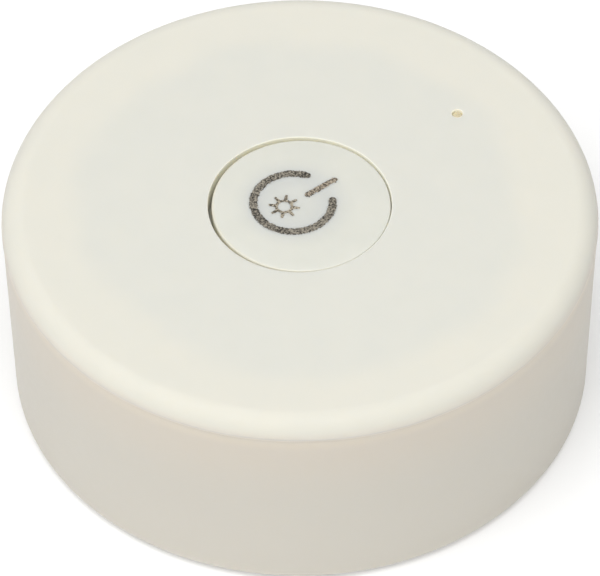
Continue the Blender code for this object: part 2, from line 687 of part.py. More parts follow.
def make_main_switch():
    base_size = (SWITCH_SIZE, SWITCH_SIZE, SWITCH_BASE_TOP - SWITCH_BASE_BOTTOM)
    base = box("switch_base", base_size, SWITCH_BASE_BOTTOM, BLACK_PLASTIC)
    well = cylinder("switch_well", SWITCH_WELL_RADIUS, SWITCH_WELL_BOTTOM, SWITCH_BASE_TOP + PAST)
    change(base, "DIFFERENCE", well)

    cover_bottom = SWITCH_BASE_TOP + SOLDER
    cover_size = (SWITCH_SIZE, SWITCH_SIZE, SWITCH_COVER_TOP - cover_bottom)
    cover = box("switch_cover", cover_size, cover_bottom, STEEL)
    hole_top = SWITCH_COVER_TOP + PAST
    cover_hole = cylinder("switch_cover_hole", SWITCH_COVER_HOLE, cover_bottom - PAST, hole_top)
    change(cover, "DIFFERENCE", cover_hole)

    plunger_profile = [
        (0.0, PLUNGER_TOP),
        (PLUNGER_RADIUS - 0.15 * MM, PLUNGER_TOP),
        (PLUNGER_RADIUS, PLUNGER_TOP - 0.15 * MM),
        (PLUNGER_RADIUS, PLUNGER_BOTTOM + 0.6 * MM),
        (PLUNGER_FLANGE, PLUNGER_BOTTOM + 0.6 * MM),
        (PLUNGER_FLANGE, PLUNGER_BOTTOM),
        (0.0, PLUNGER_BOTTOM),
    ]
    turned("switch_plunger", plunger_profile, BLACK_PLASTIC, steps=SMALL_STEPS)

    dome_ball = (DOME_RADIUS**2 + DOME_RISE**2) / (2 * DOME_RISE)
    dome_centre = DOME_FOOT + DOME_RISE - dome_ball
    half_angle = acos((dome_ball - DOME_RISE) / dome_ball)
    outer = arc(0.0, dome_centre, dome_ball + DOME_SHEET, 0.0, half_angle, 5)
    inner = arc(0.0, dome_centre, dome_ball, half_angle, 0.0, 5)
    turned("switch_dome", outer + inner, STEEL, steps=SMALL_STEPS)

    strip_size = (8.8 * MM, 0.7 * MM, STRIP)
    for name, side in (("front", -1), ("rear", 1)):
        box(f"switch_terminal_{name}", strip_size, ON_BOARD, STEEL, at=(0.0, side * 2.25 * MM))


def make_pairing_switch():
    base_bottom = UNDER_BOARD - PAIRING_BASE_HEIGHT
    at = (PAIRING_X, 0.0)
    size = (PAIRING_SIZE, PAIRING_SIZE, PAIRING_BASE_HEIGHT)
    base = box("pairing_switch_base", size, base_bottom, BLACK_PLASTIC, at)
    well_radius = PAIRING_PLUNGER_RADIUS + 0.15 * MM
    well = cylinder("pairing_well", well_radius, base_bottom - PAST, base_bottom + 1.3 * MM, at=at)
    change(base, "DIFFERENCE", well)
    plunger_top = base_bottom + 0.8 * MM
    plunger_profile = [
        (0.0, plunger_top),
        (PAIRING_PLUNGER_RADIUS, plunger_top),
        (PAIRING_PLUNGER_RADIUS, PAIRING_PLUNGER_END + 0.1 * MM),
        (PAIRING_PLUNGER_RADIUS - 0.1 * MM, PAIRING_PLUNGER_END),
        (0.0, PAIRING_PLUNGER_END),
    ]
    turned("pairing_plunger", plunger_profile, BLACK_PLASTIC, (*at, 0.0), SMALL_STEPS)


def trace_outline(path, width):
    """The outline of a flat trace whose (x, y) path turns only at right angles."""
    left, right = [], []
    for i, point in enumerate(path):
        here = Vector(point)
        before = (here - Vector(path[i - 1])).normalized() if i else None
        after = (Vector(path[i + 1]) - here).normalized() if i + 1 < len(path) else None
        sides = [Vector((-d.y, d.x)) for d in (before, after) if d]
        offset = (sides[0] if len(sides) == 1 else sides[0] + sides[1]) * width / 2
        left.append((here + offset)[:])
        right.append((here - offset)[:])
    return left + right[::-1]


def make_radio():
    centre = Vector((-11.3, -5.2)) * MM
    size = Vector((11.4, 11.6, 0.8)) * MM
    module_top = ON_BOARD + size.z
    box("radio_board", size, ON_BOARD, BOARD_GREEN, at=centre)

    shield_centre = centre + Vector((1.5, 0.0)) * MM
    shield_bottom = module_top + SOLDER
    shield_size = Vector((7.2, 9.6, 2.0)) * MM
    shield_sheet = 0.2 * MM
    hollow_size = shield_size - Vector((2 * shield_sheet, 2 * shield_sheet, 0.0))
    hollow_bottom = shield_bottom - shield_sheet
    shield = box("radio_shield", shield_size, shield_bottom, STEEL, at=shield_centre)
    hollow = box("shield_hollow", hollow_size, hollow_bottom, at=shield_centre)
    change(shield, "DIFFERENCE", hollow)

    pitch = 0.9 * MM
    trace_width = 0.35 * MM
    trace_bottom = module_top + 0.02 * MM
    trace_top = trace_bottom + 0.1 * MM
    near_x = centre.x - 2.7 * MM
    far_x = centre.x - 5.2 * MM
    start_y = centre.y - 4.5 * MM
    path = []
    for i in range(10):
        y = start_y + i * pitch
        path += [(near_x, y), (far_x, y)] if i % 2 == 0 else [(far_x, y), (near_x, y)]
    slab("radio_antenna", trace_outline(path, trace_width), trace_bottom, trace_top, COPPER)


def make_board_parts():
    """The soldered parts: size, place on the board, bevel (all in mm) and turn in degrees."""
    chip = (2.0, 1.25, 0.7)
    rows = (
        ("controller_chip", BLACK_PLASTIC, (6.0, 6.0, 0.9), (9.6, -6.4), 0.1, 0.0),
        ("crystal_can", STEEL, (3.2, 2.5, 0.9), (8.2, -12.6), 0.2, 0.0),
        ("tantalum_capacitor", TANTALUM, (3.5, 2.8, 1.9), (12.6, 2.2), 0.15, 0.0),
        ("power_coil", BLACK_PLASTIC, (3.0, 3.0, 1.5), (7.6, 8.6), 0.4, 0.0),
        ("ceramic_capacitor_1", CERAMIC, chip, (14.8, -5.0), 0.0, 90.0),
        ("ceramic_capacitor_2", CERAMIC, chip, (14.8, -8.6), 0.0, 90.0),
        ("ceramic_capacitor_3", CERAMIC, chip, (4.2, -13.4), 0.0, 0.0),
        ("chip_resistor_1", BLACK_PLASTIC, chip, (4.6, 15.6), 0.0, 0.0),
        ("chip_resistor_2", BLACK_PLASTIC, chip, (-4.8, 13.4), 0.0, 0.0),
        ("chip_resistor_3", BLACK_PLASTIC, chip, (-8.4, 8.8), 0.0, 90.0),
    )
    for name, material, size, centre, bevel, turn in rows:
        at = Vector(centre) * MM
        box(name, Vector(size) * MM, ON_BOARD, material, at, bevel * MM, turn)


make_top_cover()
make_body_shell()
make_button_cap()
make_indicator()
make_board()
make_screws()
make_feet()
make_battery_door()
make_cell_and_contacts()
make_main_switch()
make_pairing_switch()
make_radio()
make_board_parts()
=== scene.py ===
"""Looks for the wireless light-control puck: moulded ivory shells, a laser-marked button, studio."""

from math import atan2, cos, degrees, hypot, pi, radians, sin
from random import Random

import bmesh
import bpy
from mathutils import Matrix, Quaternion, Vector


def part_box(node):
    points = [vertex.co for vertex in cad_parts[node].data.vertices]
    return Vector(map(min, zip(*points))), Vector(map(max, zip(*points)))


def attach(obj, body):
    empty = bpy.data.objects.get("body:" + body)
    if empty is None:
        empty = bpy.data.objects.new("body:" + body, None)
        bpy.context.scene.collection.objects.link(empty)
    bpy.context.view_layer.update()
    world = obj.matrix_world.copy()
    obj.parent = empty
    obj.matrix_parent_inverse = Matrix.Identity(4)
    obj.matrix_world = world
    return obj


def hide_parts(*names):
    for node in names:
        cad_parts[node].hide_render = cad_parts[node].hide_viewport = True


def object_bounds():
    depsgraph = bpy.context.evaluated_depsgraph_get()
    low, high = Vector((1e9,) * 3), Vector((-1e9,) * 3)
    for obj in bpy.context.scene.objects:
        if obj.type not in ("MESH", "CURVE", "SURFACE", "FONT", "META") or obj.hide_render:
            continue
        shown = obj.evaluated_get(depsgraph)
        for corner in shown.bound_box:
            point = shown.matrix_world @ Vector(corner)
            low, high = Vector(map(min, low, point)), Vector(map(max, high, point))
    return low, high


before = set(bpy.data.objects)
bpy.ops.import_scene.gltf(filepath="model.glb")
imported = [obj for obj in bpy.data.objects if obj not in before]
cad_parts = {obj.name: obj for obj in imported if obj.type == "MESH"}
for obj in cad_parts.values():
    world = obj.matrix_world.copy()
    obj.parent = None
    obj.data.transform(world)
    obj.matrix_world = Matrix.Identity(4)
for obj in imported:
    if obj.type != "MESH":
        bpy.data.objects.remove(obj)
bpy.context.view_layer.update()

MM = 0.001

# facets round a turned piece, by the piece's size
FINE_STEPS = 256
DOOR_STEPS = 192
MIDDLE_STEPS = 96
POST_STEPS = 53  # shares no factor with SMALL_STEPS, so no edge of a post meets one of its cutter
SMALL_STEPS = 48
START_TURN = radians(0.0137)  # how far round the first facet starts, for each step of the piece
SHARP_ANGLE = radians(32)
FLAT_WEIGHT = 90  # how strongly large faces hold the normals at their edges


# ---------------------------------------------------------------- places read from the frame

def middle(low, high):
    return (low + high) / 2


def slice_box(node, low=-1.0, high=1.0):
    """The corners of the part of a CAD node between two heights."""
    points = [v.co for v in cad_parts[node].data.vertices if low <= v.co.z <= high]
    lowest = Vector([min(p[i] for p in points) for i in range(3)])
    highest = Vector([max(p[i] for p in points) for i in range(3)])
    return lowest, highest


def nearest_to_axis(node, low, high):
    points = [v.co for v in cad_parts[node].data.vertices if low <= v.co.z <= high]
    return min(hypot(p.x, p.y) for p in points)


COVER_LOW, COVER_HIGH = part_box("top_cover")
SHELL_LOW, SHELL_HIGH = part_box("body_shell")
TOP = COVER_HIGH.z
RIM = COVER_HIGH.x
UNDERSIDE = SHELL_LOW.z
WALL_TOP = SHELL_HIGH.z
WALL_TOP_RADIUS = SHELL_HIGH.x
FLAT_BASE_RADIUS = slice_box("body_shell", high=UNDERSIDE + 0.05 * MM)[1].x
HOLE_RADIUS = nearest_to_axis("top_cover", TOP - 0.3 * MM, TOP)
CAP_LOW, CAP_HIGH = slice_box("button_cap", low=TOP - 1.0 * MM)
CAP_CENTRE = middle(CAP_LOW, CAP_HIGH)
CAP_CENTRE.z = 0.0
CAP_RADIUS = (CAP_HIGH.x - CAP_LOW.x) / 2 + 0.055 * MM  # a narrower gap than the collision solid's
PIPE_LOW, PIPE_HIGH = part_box("light_pipe")
PIPE_CENTRE = middle(PIPE_LOW, PIPE_HIGH)
PIN_LOW, PIN_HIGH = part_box("pairing_plunger")
PIN_CENTRE = middle(PIN_LOW, PIN_HIGH)
DOOR_LOW, DOOR_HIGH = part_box("battery_door")
DOOR_RADIUS = DOOR_HIGH.x
SCREWS = ("case_screw_1", "case_screw_2", "case_screw_3")
FEET = ("rubber_foot_1", "rubber_foot_2", "rubber_foot_3")

LIGHT_HOLE_RADIUS = 0.46 * MM
EDGE_RADIUS = 2.0 * MM  # the lid's rounded edge
EDGE_SWEEP = 78  # degrees of arc in it
FOOT_EDGE = 0.5 * MM  # the rounding between the bowl's side and its underside
SEAM_LIP = 0.014 * MM  # the tiny rounding of both edges at the seam
WALL = 2.0 * MM
LID_UNDER = TOP - 1.8 * MM
FLOOR_TOP = 2.6 * MM
POST_HOLLOW = 3.2 * MM  # the height at which a post on the floor starts to be hollow
SKIN = 0.012 * MM  # the mark's thickness over the button's face


# ---------------------------------------------------------------- mesh helpers

def place(name, mesh, at=(0.0, 0.0, 0.0)):
    obj = bpy.data.objects.new(name, mesh)
    obj.location = at
    bpy.context.scene.collection.objects.link(obj)
    bpy.context.view_layer.update()
    return obj


def collapse(obj, *helpers):
    """Applies the object's modifiers and removes the objects that they used."""
    bpy.context.view_layer.update()
    graph = bpy.context.evaluated_depsgraph_get()
    solid = bpy.data.meshes.new_from_object(obj.evaluated_get(graph))
    obj.modifiers.clear()
    obj.data = solid
    for helper in helpers:
        bpy.data.objects.remove(helper)
    return obj


def shaded(obj):
    """Smooth shading that keeps flat faces flat and corners sharp."""
    obj.data.shade_smooth()
    obj.data.set_sharp_from_angle(angle=SHARP_ANGLE)
    weighting = obj.modifiers.new("normals", "WEIGHTED_NORMAL")
    weighting.keep_sharp = True
    weighting.weight = FLAT_WEIGHT
    return collapse(obj)


def turned(name, profile, at=(0.0, 0.0, 0.0), steps=FINE_STEPS, ring=False):
    """A turned piece. Its (radius, z) profile runs down the outer side; a ring's closes on itself.

    The first facet starts a little way round, so that no corner of a cutter meets another seam.
    """
    start = steps * START_TURN
    points = [(radius * cos(start), radius * sin(start), z) for radius, z in profile]
    edges = [(i, i + 1) for i in range(len(points) - 1)]
    if ring:
        edges.append((len(points) - 1, 0))
    mesh = bpy.data.meshes.new(name)
    mesh.from_pydata(points, edges, [])
    obj = place(name, mesh, at)
    screw = obj.modifiers.new("turn", "SCREW")
    screw.steps = steps
    screw.render_steps = steps
    screw.use_merge_vertices = True
    screw.merge_threshold = 0.000001
    return collapse(obj)


def slab(name, outlines, bottom, top, at=(0.0, 0.0)):
    """Flat outlines given a thickness. An outline inside another is a hole in it."""
    curve = bpy.data.curves.new(name, "CURVE")
    curve.dimensions = "2D"
    curve.fill_mode = "BOTH"
    curve.extrude = (top - bottom) / 2
    for outline in outlines:
        spline = curve.splines.new("POLY")
        spline.points.add(len(outline) - 1)
        for point, (x, y) in zip(spline.points, outline):
            point.co = (x, y, 0.0, 1.0)
        spline.use_cyclic_u = True
    guide = place(name + "_outline", curve)
    graph = bpy.context.evaluated_depsgraph_get()
    mesh = bpy.data.meshes.new_from_object(guide.evaluated_get(graph))
    bpy.data.objects.remove(guide)
    build = bmesh.new()
    build.from_mesh(mesh)
    bmesh.ops.remove_doubles(build, verts=build.verts, dist=0.0000001)
    build.to_mesh(mesh)
    build.free()
    return place(name, mesh, (at[0], at[1], (bottom + top) / 2))


def block(name, size, bottom, at=(0.0, 0.0), turn=0.0):
    build = bmesh.new()
    bmesh.ops.create_cube(build, size=1.0)
    bmesh.ops.scale(build, vec=size, verts=build.verts)
    mesh = bpy.data.meshes.new(name)
    build.to_mesh(mesh)
    build.free()
    obj = place(name, mesh, (at[0], at[1], bottom + size[2] / 2))
    obj.rotation_euler.z = radians(turn)
    return obj


def shaped(target, joined=(), cut=()):
    """Joins some pieces on to the target, cuts others from it, and applies the result."""
    for operation, tools in (("UNION", joined), ("DIFFERENCE", cut)):
        for tool in tools:
            step = target.modifiers.new(tool.name, "BOOLEAN")
            step.operation = operation
            step.solver = "EXACT"
            step.object = tool
    return collapse(target, *joined, *cut)


def arc(centre_r, centre_z, radius, start, end, count):
    """Points on an arc in the (radius, z) plane. Angles in degrees, from +Z towards +X."""
    angles = [radians(start + (end - start) * i / count) for i in range(count + 1)]
    return [(centre_r + radius * sin(a), centre_z + radius * cos(a)) for a in angles]


def circle(radius, count, centre=(0.0, 0.0), start=0.0):
    angles = [start + 2 * pi * i / count for i in range(count)]
    return [(centre[0] + radius * cos(a), centre[1] + radius * sin(a)) for a in angles]


def sector(name, inner, outer, centre, width, bottom, top, points=16):
    """Part of a flat ring, width degrees wide about the centre angle."""
    angles = [radians(centre - width / 2 + width * i / (points - 1)) for i in range(points)]
    outline = [(outer * cos(a), outer * sin(a)) for a in angles]
    outline += [(inner * cos(a), inner * sin(a)) for a in reversed(angles)]
    return slab(name, [outline], bottom, top)


def finish_piece(obj, material, body, slot, *nodes):
    """Shades a piece, gives it its material and body, and hides the CAD nodes it stands for."""
    shaded(obj)
    obj.data.materials.clear()
    obj.data.materials.append(material)
    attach(obj, body)
    if nodes:
        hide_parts(*nodes)


# ---------------------------------------------------------------- materials

class Nodes:
    """A material's node tree, with short ways to add what the materials here share."""

    def __init__(self, name):
        self.material = bpy.data.materials.new(name)
        self.material.use_nodes = True
        self.tree = self.material.node_tree
        self.shader = self.tree.nodes["Principled BSDF"]
        coordinates = self.tree.nodes.new("ShaderNodeTexCoord")
        self.place = coordinates.outputs["Object"]

    def link(self, output, target):
        self.tree.links.new(output, target)

    def noise(self, size, detail=3.0, stretch=None, roughness=0.5):
        """Noise whose features are about this size in metres."""
        node = self.tree.nodes.new("ShaderNodeTexNoise")
        node.inputs["Scale"].default_value = 1.0 / size
        node.inputs["Detail"].default_value = detail
        node.inputs["Roughness"].default_value = roughness
        source = self.place
        if stretch:
            mapping = self.tree.nodes.new("ShaderNodeMapping")
            mapping.inputs["Scale"].default_value = stretch
            self.link(source, mapping.inputs["Vector"])
            source = mapping.outputs["Vector"]
        self.link(source, node.inputs["Vector"])
        return node.outputs["Fac"]

    def math(self, operation, *values):
        node = self.tree.nodes.new("ShaderNodeMath")
        node.operation = operation
        for socket, value in zip(node.inputs, values):
            if isinstance(value, (int, float)):
                socket.default_value = value
            else:
                self.link(value, socket)
        return node.outputs["Value"]

    def spread(self, value, low, high, to_low=0.0, to_high=1.0):
        """A value's range from low to high, laid on another range and held at its ends."""
        node = self.tree.nodes.new("ShaderNodeMapRange")
        node.interpolation_type = "SMOOTHSTEP"
        self.link(value, node.inputs["Value"])
        ends = {"From Min": low, "From Max": high, "To Min": to_low, "To Max": to_high}
        for name, number in ends.items():
            node.inputs[name].default_value = number
        return node.outputs["Result"]

    def mix(self, amount, first, second, mode="MIX"):
        node = self.tree.nodes.new("ShaderNodeMix")
        node.data_type = "RGBA"
        node.blend_type = mode
        sockets = [s for s in node.inputs if s.type == "RGBA"]
        for socket, value in zip(sockets, (first, second)):
            if isinstance(value, tuple):
                socket.default_value = (*value, 1.0)
            else:
                self.link(value, socket)
        if isinstance(amount, (int, float)):
            node.inputs["Factor"].default_value = amount
        else:
            self.link(amount, node.inputs["Factor"])
        return next(s for s in node.outputs if s.type == "RGBA")

    def from_axis(self, centre=(0.0, 0.0)):
        """The distance from the vertical through this (x, y)."""
        split = self.tree.nodes.new("ShaderNodeSeparateXYZ")
        self.link(self.place, split.inputs[0])
        x = self.math("SUBTRACT", split.outputs["X"], centre[0])
        y = self.math("SUBTRACT", split.outputs["Y"], centre[1])
        square = self.math("ADD", self.math("MULTIPLY", x, x), self.math("MULTIPLY", y, y))
        return self.math("SQRT", square)

    def height(self):
        split = self.tree.nodes.new("ShaderNodeSeparateXYZ")
        self.link(self.place, split.inputs[0])
        return split.outputs["Z"]

    def bump(self, height, depth):
        node = self.tree.nodes.new("ShaderNodeBump")
        node.inputs["Distance"].default_value = depth
        node.inputs["Strength"].default_value = 1.0
        self.link(height, node.inputs["Height"])
        self.link(node.outputs["Normal"], self.shader.inputs["Normal"])

    def colour(self, output):
        self.link(output, self.shader.inputs["Base Color"])

    def roughness(self, output):
        self.link(output, self.shader.inputs["Roughness"])


def translucent(nodes, weight=0.80, depth=0.9 * MM, tint=(1.0, 0.95, 0.86)):
    """Light that soaks into pale plastic: depth is the reach of its reddest part in metres."""
    nodes.shader.inputs["Subsurface Weight"].default_value = weight
    nodes.shader.inputs["Subsurface Radius"].default_value = tint
    nodes.shader.inputs["Subsurface Scale"].default_value = depth


GRAIN = 0.16 * MM  # the size of the moulded surface's grain
IVORY_BASE = (0.680, 0.675, 0.616)
# painted glow: the lid's tone where the thick rim backs it
IVORY_RIM_GLOW = (0.712, 0.696, 0.622)
# painted light along the seam: a lighter, warmer band and a bright lip on the lid's bottom edge
LID_SEAM_LIGHT = (0.745, 0.690, 0.600)
LID_LIP_GLOW = (0.90, 0.82, 0.69)
BOWL_DARK, BOWL_LIGHT = (0.652, 0.620, 0.552), (0.662, 0.632, 0.564)
# painted light on the bowl's side, lighter and pinker towards the seam
BOWL_UPPER_LIGHT = (0.695, 0.641, 0.557)
BOWL_SEAM_LIGHT = (0.760, 0.690, 0.580)
DOOR_DARK, DOOR_LIGHT = (0.640, 0.612, 0.545), (0.658, 0.632, 0.563)
CAP_DARK, CAP_LIGHT = (0.674, 0.676, 0.616), (0.690, 0.690, 0.628)
# painted shade round the burnt mark
MARK_SHADE = (0.597, 0.608, 0.582)
# thin edges, where light comes through the plastic
HOLE_GLOW = (0.82, 0.80, 0.67)
PINHOLE_GLOW = (0.93, 0.88, 0.73)
CAP_GLOW = (0.70, 0.68, 0.58)


def ivory_cover():
    """The lid's plastic: a cooler field over the hollow middle, with a painted glow, warmer and
    lighter, where the rim backs it; painted light along the seam and round both holes.
    """
    nodes = Nodes("ivory_cover")
    cloud = nodes.noise(14 * MM, 2.0)
    wobble = nodes.math("MULTIPLY_ADD", cloud, 5 * MM, nodes.from_axis())
    # painted glow over the rim, for light that the thicker plastic there scatters back
    rim = nodes.spread(wobble, 19.6 * MM, 22.8 * MM)
    colour = nodes.mix(rim, IVORY_BASE, IVORY_RIM_GLOW)
    mottle = nodes.spread(nodes.noise(3.2 * MM, 3.0), 0.3, 0.7)
    cooler = nodes.mix(1.0, colour, (0.985, 0.990, 0.995), "MULTIPLY")
    colour = nodes.mix(mottle, colour, cooler)
    # painted light at the seam: a lighter, warmer band, and a bright glow on the lowest 0.16 mm
    seam = nodes.spread(nodes.height(), WALL_TOP, WALL_TOP + 0.9 * MM, 1.0, 0.0)
    colour = nodes.mix(seam, colour, LID_SEAM_LIGHT)
    edge = nodes.spread(nodes.height(), WALL_TOP, WALL_TOP + 0.16 * MM, 1.0, 0.0)
    colour = nodes.mix(edge, colour, LID_LIP_GLOW)
    # painted glow round the button's hole and round the light's hole
    mouth = nodes.spread(nodes.from_axis(), HOLE_RADIUS, HOLE_RADIUS + 0.14 * MM, 1.0, 0.0)
    colour = nodes.mix(mouth, colour, HOLE_GLOW)
    pinhole = nodes.from_axis(PIPE_CENTRE)
    pinhole = nodes.spread(pinhole, LIGHT_HOLE_RADIUS, LIGHT_HOLE_RADIUS + 0.10 * MM, 1.0, 0.0)
    nodes.colour(nodes.mix(pinhole, colour, PINHOLE_GLOW))
    nodes.bump(nodes.noise(GRAIN, 4.0), 0.0025 * MM)
    nodes.roughness(nodes.spread(nodes.noise(0.9 * MM), 0.25, 0.75, 0.52, 0.60))
    nodes.shader.inputs["Specular IOR Level"].default_value = 0.15
    translucent(nodes)
    return nodes.material


def ivory_bowl():
    """The bowl's plastic: a little darker than the lid's, with painted light that makes it lighter and
    pinker towards the seam.
    """
    nodes = Nodes("ivory_bowl")
    flow = nodes.spread(nodes.noise(16 * MM, 2.0, stretch=(1.0, 1.0, 0.35)), 0.3, 0.7)
    colour = nodes.mix(flow, BOWL_DARK, BOWL_LIGHT)
    # painted light: the side lighter and pinker over its top 9 mm, and lighter still in the last 1.5
    # mm
    upper_light = nodes.spread(nodes.height(), WALL_TOP - 9.0 * MM, WALL_TOP)
    colour = nodes.mix(upper_light, colour, BOWL_UPPER_LIGHT)
    seam = nodes.spread(nodes.height(), WALL_TOP - 1.5 * MM, WALL_TOP)
    nodes.colour(nodes.mix(seam, colour, BOWL_SEAM_LIGHT))
    nodes.bump(nodes.noise(GRAIN, 4.0), 0.0030 * MM)
    nodes.roughness(nodes.spread(nodes.noise(0.8 * MM), 0.25, 0.75, 0.56, 0.66))
    nodes.shader.inputs["Specular IOR Level"].default_value = 0.25
    translucent(nodes)
    return nodes.material


def ivory_door():
    """The door's plastic: the same ivory with a coarser, spark-eroded grain."""
    nodes = Nodes("ivory_door")
    flow = nodes.spread(nodes.noise(9 * MM, 2.0), 0.3, 0.7)
    nodes.colour(nodes.mix(flow, DOOR_DARK, DOOR_LIGHT))
    nodes.bump(nodes.noise(0.22 * MM, 5.0), 0.0060 * MM)
    nodes.roughness(nodes.spread(nodes.noise(0.6 * MM), 0.25, 0.75, 0.50, 0.62))
    translucent(nodes)
    return nodes.material


MARK_CENTRE = Vector((-0.57, -0.42)) * MM
MARK_RADIUS = 3.32 * MM
MARK_WIDTH = 0.62 * MM
SUN_CENTRE = Vector((-0.66, -1.28)) * MM
DOT_PITCH = 0.14 * MM  # between the laser's dots


def button_plastic():
    """The button's whiter plastic, with painted shade round and inside the burnt mark, and a painted
    glow on its edge.
    """
    nodes = Nodes("button_plastic")
    mottle = nodes.spread(nodes.noise(2.8 * MM, 3.0), 0.3, 0.7)
    field = nodes.mix(mottle, CAP_DARK, CAP_LIGHT)
    # painted shade round the mark's ring and inside it, for the light that the dark mark takes from
    # the plastic around it
    ring = nodes.math("ABSOLUTE", nodes.math("SUBTRACT", nodes.from_axis(MARK_CENTRE), MARK_RADIUS))
    halo = nodes.spread(ring, 0.2 * MM, 2.2 * MM, 1.0, 0.0)
    inside = nodes.spread(nodes.from_axis(MARK_CENTRE), 2.6 * MM, 4.6 * MM, 1.0, 0.0)
    mark_shade = nodes.math("MULTIPLY_ADD", inside, 0.55, nodes.math("MULTIPLY", halo, 0.45))
    colour = nodes.mix(mark_shade, field, MARK_SHADE)
    # painted glow on the button's edge
    side = nodes.spread(nodes.from_axis(CAP_CENTRE), CAP_RADIUS - 0.16 * MM, CAP_RADIUS)
    nodes.colour(nodes.mix(side, colour, CAP_GLOW))
    nodes.bump(nodes.noise(GRAIN, 4.0), 0.0022 * MM)
    nodes.roughness(nodes.spread(nodes.noise(0.9 * MM), 0.25, 0.75, 0.36, 0.44))
    translucent(nodes)
    return nodes.material


def burnt_mark(name, dark, light, bias):
    """Plastic charred by a laser dot by dot: dark pits in a paler, foamed ground."""
    nodes = Nodes(name)
    dots = nodes.tree.nodes.new("ShaderNodeTexVoronoi")
    dots.inputs["Scale"].default_value = 1.0 / DOT_PITCH
    dots.inputs["Randomness"].default_value = 0.75
    nodes.link(nodes.place, dots.inputs["Vector"])
    pits = nodes.spread(dots.outputs["Distance"], 0.22, 0.55)
    clumps = nodes.spread(nodes.noise(0.20 * MM, 3.0, roughness=0.7), 0.40, 0.64)
    patches = nodes.spread(nodes.noise(1.9 * MM, 2.0), 0.35, 0.65, -0.09, 0.09)
    char = nodes.math("MULTIPLY_ADD", pits, 0.50, nodes.math("MULTIPLY", clumps, 0.50))
    char = nodes.math("ADD", nodes.math("ADD", char, patches), bias)
    char = nodes.spread(char, 0.15, 0.80)
    nodes.colour(nodes.mix(char, dark, light))
    nodes.bump(pits, 0.012 * MM)
    nodes.roughness(nodes.spread(clumps, 0.0, 1.0, 0.85, 0.65))
    return nodes.material


def amber_lens():
    nodes = Nodes("amber_lens")
    swirl = nodes.spread(nodes.noise(0.5 * MM, 2.0), 0.3, 0.7)
    nodes.colour(nodes.mix(swirl, (0.50, 0.44, 0.29), (0.60, 0.54, 0.38)))
    nodes.roughness(nodes.spread(nodes.noise(0.2 * MM), 0.3, 0.7, 0.22, 0.34))
    translucent(nodes, 0.6, 0.6 * MM, (1.0, 0.8, 0.45))
    return nodes.material


def foot_rubber():
    nodes = Nodes("foot_rubber")
    dust = nodes.spread(nodes.noise(1.1 * MM, 5.0, roughness=0.65), 0.42, 0.78)
    nodes.colour(nodes.mix(dust, (0.060, 0.060, 0.058), (0.115, 0.112, 0.105)))
    nodes.bump(nodes.noise(0.13 * MM, 5.0), 0.012 * MM)
    nodes.roughness(nodes.spread(dust, 0.0, 1.0, 0.72, 0.90))
    return nodes.material


def plated_metal(name, dark, light, roughness, brushed):
    """Bright plating: fine brushing along one direction and a mild tarnish."""
    nodes = Nodes(name)
    tarnish = nodes.spread(nodes.noise(2.4 * MM, 4.0), 0.3, 0.75)
    nodes.colour(nodes.mix(tarnish, light, dark))
    brush = nodes.noise(0.12 * MM, 3.0, stretch=(1.0, brushed, brushed))
    nodes.bump(brush, 0.0015 * MM)
    nodes.roughness(nodes.spread(tarnish, 0.0, 1.0, roughness, roughness + 0.14))
    nodes.shader.inputs["Metallic"].default_value = 1.0
    return nodes.material


def moulded(name, dark, light, roughness, grain_size):
    """A small moulded or fired part: grain, faint mottle, uneven gloss."""
    nodes = Nodes(name)
    mottle = nodes.spread(nodes.noise(0.9 * MM, 4.0), 0.3, 0.7)
    nodes.colour(nodes.mix(mottle, dark, light))
    nodes.bump(nodes.noise(grain_size, 4.0), 0.004 * MM)
    nodes.roughness(nodes.spread(mottle, 0.0, 1.0, roughness, roughness + 0.12))
    return nodes.material


def solder_mask(name, field, track):
    """Lacquered board: paler tracks under the green, and the glass weave's faint ripple."""
    nodes = Nodes(name)
    brick = nodes.tree.nodes.new("ShaderNodeTexBrick")
    brick.inputs["Scale"].default_value = 1.0 / (6.0 * MM)
    brick.inputs["Mortar Size"].default_value = 0.035
    brick.inputs["Mortar Smooth"].default_value = 0.1
    nodes.link(nodes.place, brick.inputs["Vector"])
    tone = nodes.spread(nodes.noise(5 * MM, 2.0), 0.3, 0.7)
    ground = nodes.mix(tone, field, tuple(c * 1.25 for c in field))
    nodes.colour(nodes.mix(brick.outputs["Fac"], ground, track))
    weave = nodes.tree.nodes.new("ShaderNodeTexWave")
    weave.inputs["Scale"].default_value = 1.0 / (1.2 * MM)
    nodes.link(nodes.place, weave.inputs["Vector"])
    nodes.bump(weave.outputs["Fac"], 0.004 * MM)
    nodes.roughness(nodes.spread(tone, 0.0, 1.0, 0.26, 0.36))
    return nodes.material


# ---------------------------------------------------------------- the lid

